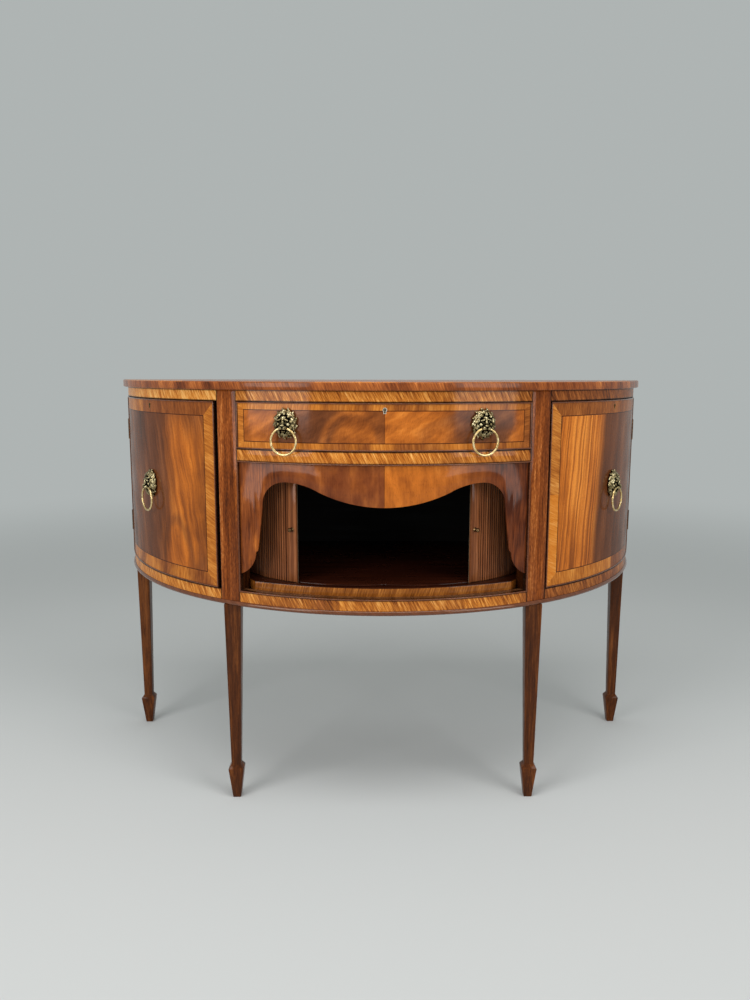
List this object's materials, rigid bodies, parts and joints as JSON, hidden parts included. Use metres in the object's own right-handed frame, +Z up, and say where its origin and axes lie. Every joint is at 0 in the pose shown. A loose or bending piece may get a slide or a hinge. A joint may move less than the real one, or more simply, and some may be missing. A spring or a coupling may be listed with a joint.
{
  "type": "demilune sideboard",
  "caption": "Bow-fronted demilune sideboard on tapered spade-foot legs, with a drawer over an arched recess closed by tambour doors, hinged end cupboards and lion-mask ring pulls.",
  "frame": {"origin": "on the floor, under the middle of the footprint", "axes": "+X to the right seen from the front, front towards -Y, +Z up"},
  "size_m": [1.3192, 0.528, 0.914],
  "materials": {
    "top_wood": "polished figured mahogany veneer",
    "rail_wood": "polished crossbanded veneer",
    "leg_wood": "polished solid mahogany",
    "door_wood": "polished flame veneer with crossbanding",
    "drawer_wood": "polished flame veneer with crossbanding",
    "apron_wood": "polished figured veneer",
    "bead_wood": "polished mahogany bead",
    "tambour_wood": "polished reeded mahogany",
    "floor_wood": "polished mahogany board",
    "inner_wood": "plain planed secondary wood",
    "back_wood": "rough stained board",
    "brass": "aged cast brass",
    "canvas": "glued linen canvas"
  },
  "bodies": {
    "carcase": {"top": "top_wood", "leg_front_left": "leg_wood", "leg_front_right": "leg_wood", "leg_back_left": "leg_wood", "leg_back_right": "leg_wood", "top_rail_front": "rail_wood", "top_rail_left": "rail_wood", "top_rail_right": "rail_wood", "bottom_rail_front": "rail_wood", "bottom_rail_left": "rail_wood", "bottom_rail_right": "rail_wood", "drawer_divider": "rail_wood", "bottom_bead": "bead_wood", "recess_bead": "bead_wood", "apron": "apron_wood", "bottom_board": "inner_wood", "compartment_floor": "floor_wood", "compartment_ceiling": "inner_wood", "partition_left": "inner_wood", "partition_right": "inner_wood", "back_panel": "back_wood", "drawer_runners": "inner_wood", "drawer_kickers": "inner_wood", "glue_blocks": "inner_wood", "hinge_frame_left": "brass", "hinge_frame_right": "brass"},
    "drawer": {"drawer_front": "drawer_wood", "drawer_side_left": "inner_wood", "drawer_side_right": "inner_wood", "drawer_back": "inner_wood", "drawer_bottom": "inner_wood", "drawer_cockbead": "bead_wood", "drawer_lock": "brass", "drawer_mask_left": "brass", "drawer_mask_right": "brass"},
    "left_door": {"door_left": "door_wood", "door_cockbead_left": "bead_wood", "door_lock_left": "brass", "door_mask_left": "brass", "hinge_door_left": "brass"},
    "left_door_ring": {"door_ring_left": "brass"},
    "left_drawer_ring": {"drawer_ring_left": "brass"},
    "left_tambour": {"tambour_slats_left": "tambour_wood", "tambour_canvas_left": "canvas", "tambour_lead_left": "tambour_wood", "tambour_knob_left": "brass"},
    "right_door": {"door_right": "door_wood", "door_cockbead_right": "bead_wood", "door_lock_right": "brass", "door_mask_right": "brass", "hinge_door_right": "brass"},
    "right_door_ring": {"door_ring_right": "brass"},
    "right_drawer_ring": {"drawer_ring_right": "brass"},
    "right_tambour": {"tambour_slats_right": "tambour_wood", "tambour_canvas_right": "canvas", "tambour_lead_right": "tambour_wood", "tambour_knob_right": "brass"}
  },
  "joints": [
    {"name": "drawer_slide", "type": "slide", "parent": "carcase", "child": "drawer", "axis": [0, -1, 0], "range_m": [0, 0.3]},
    {"name": "left_door_hinge", "type": "hinge", "parent": "carcase", "child": "left_door", "pos_m": [-0.63975, 0.22364, 0.674], "axis": [0, 0, -1], "range_deg": [0, 100]},
    {"name": "left_drawer_ring_swing", "type": "hinge", "parent": "drawer", "child": "left_drawer_ring", "pos_m": [-0.20144, -0.23748, 0.8215], "axis": [-0.9551, 0.2962, 0], "range_deg": [0, 90]},
    {"name": "left_door_ring_swing", "type": "hinge", "parent": "left_door", "child": "left_door_ring", "pos_m": [-0.54024, -0.00096, 0.67125], "axis": [-0.6073, 0.7945, 0], "range_deg": [0, 90]},
    {"name": "left_tambour_slide", "type": "hinge", "parent": "carcase", "child": "left_tambour", "pos_m": [-0.06, 0.07981, 0.616], "axis": [0, 0, -1], "range_deg": [-36.99, 14]},
    {"name": "right_door_hinge", "type": "hinge", "parent": "carcase", "child": "right_door", "pos_m": [0.63975, 0.22364, 0.674], "axis": [0, 0, 1], "range_deg": [0, 100]},
    {"name": "right_drawer_ring_swing", "type": "hinge", "parent": "drawer", "child": "right_drawer_ring", "pos_m": [0.20144, -0.23748, 0.8215], "axis": [-0.9551, -0.2962, 0], "range_deg": [0, 90]},
    {"name": "right_door_ring_swing", "type": "hinge", "parent": "right_door", "child": "right_door_ring", "pos_m": [0.54024, -0.00096, 0.67125], "axis": [-0.6073, -0.7945, 0], "range_deg": [0, 90]},
    {"name": "right_tambour_slide", "type": "hinge", "parent": "carcase", "child": "right_tambour", "pos_m": [0.06, 0.07981, 0.616], "axis": [0, 0, 1], "range_deg": [-36.99, 14]}
  ]
}
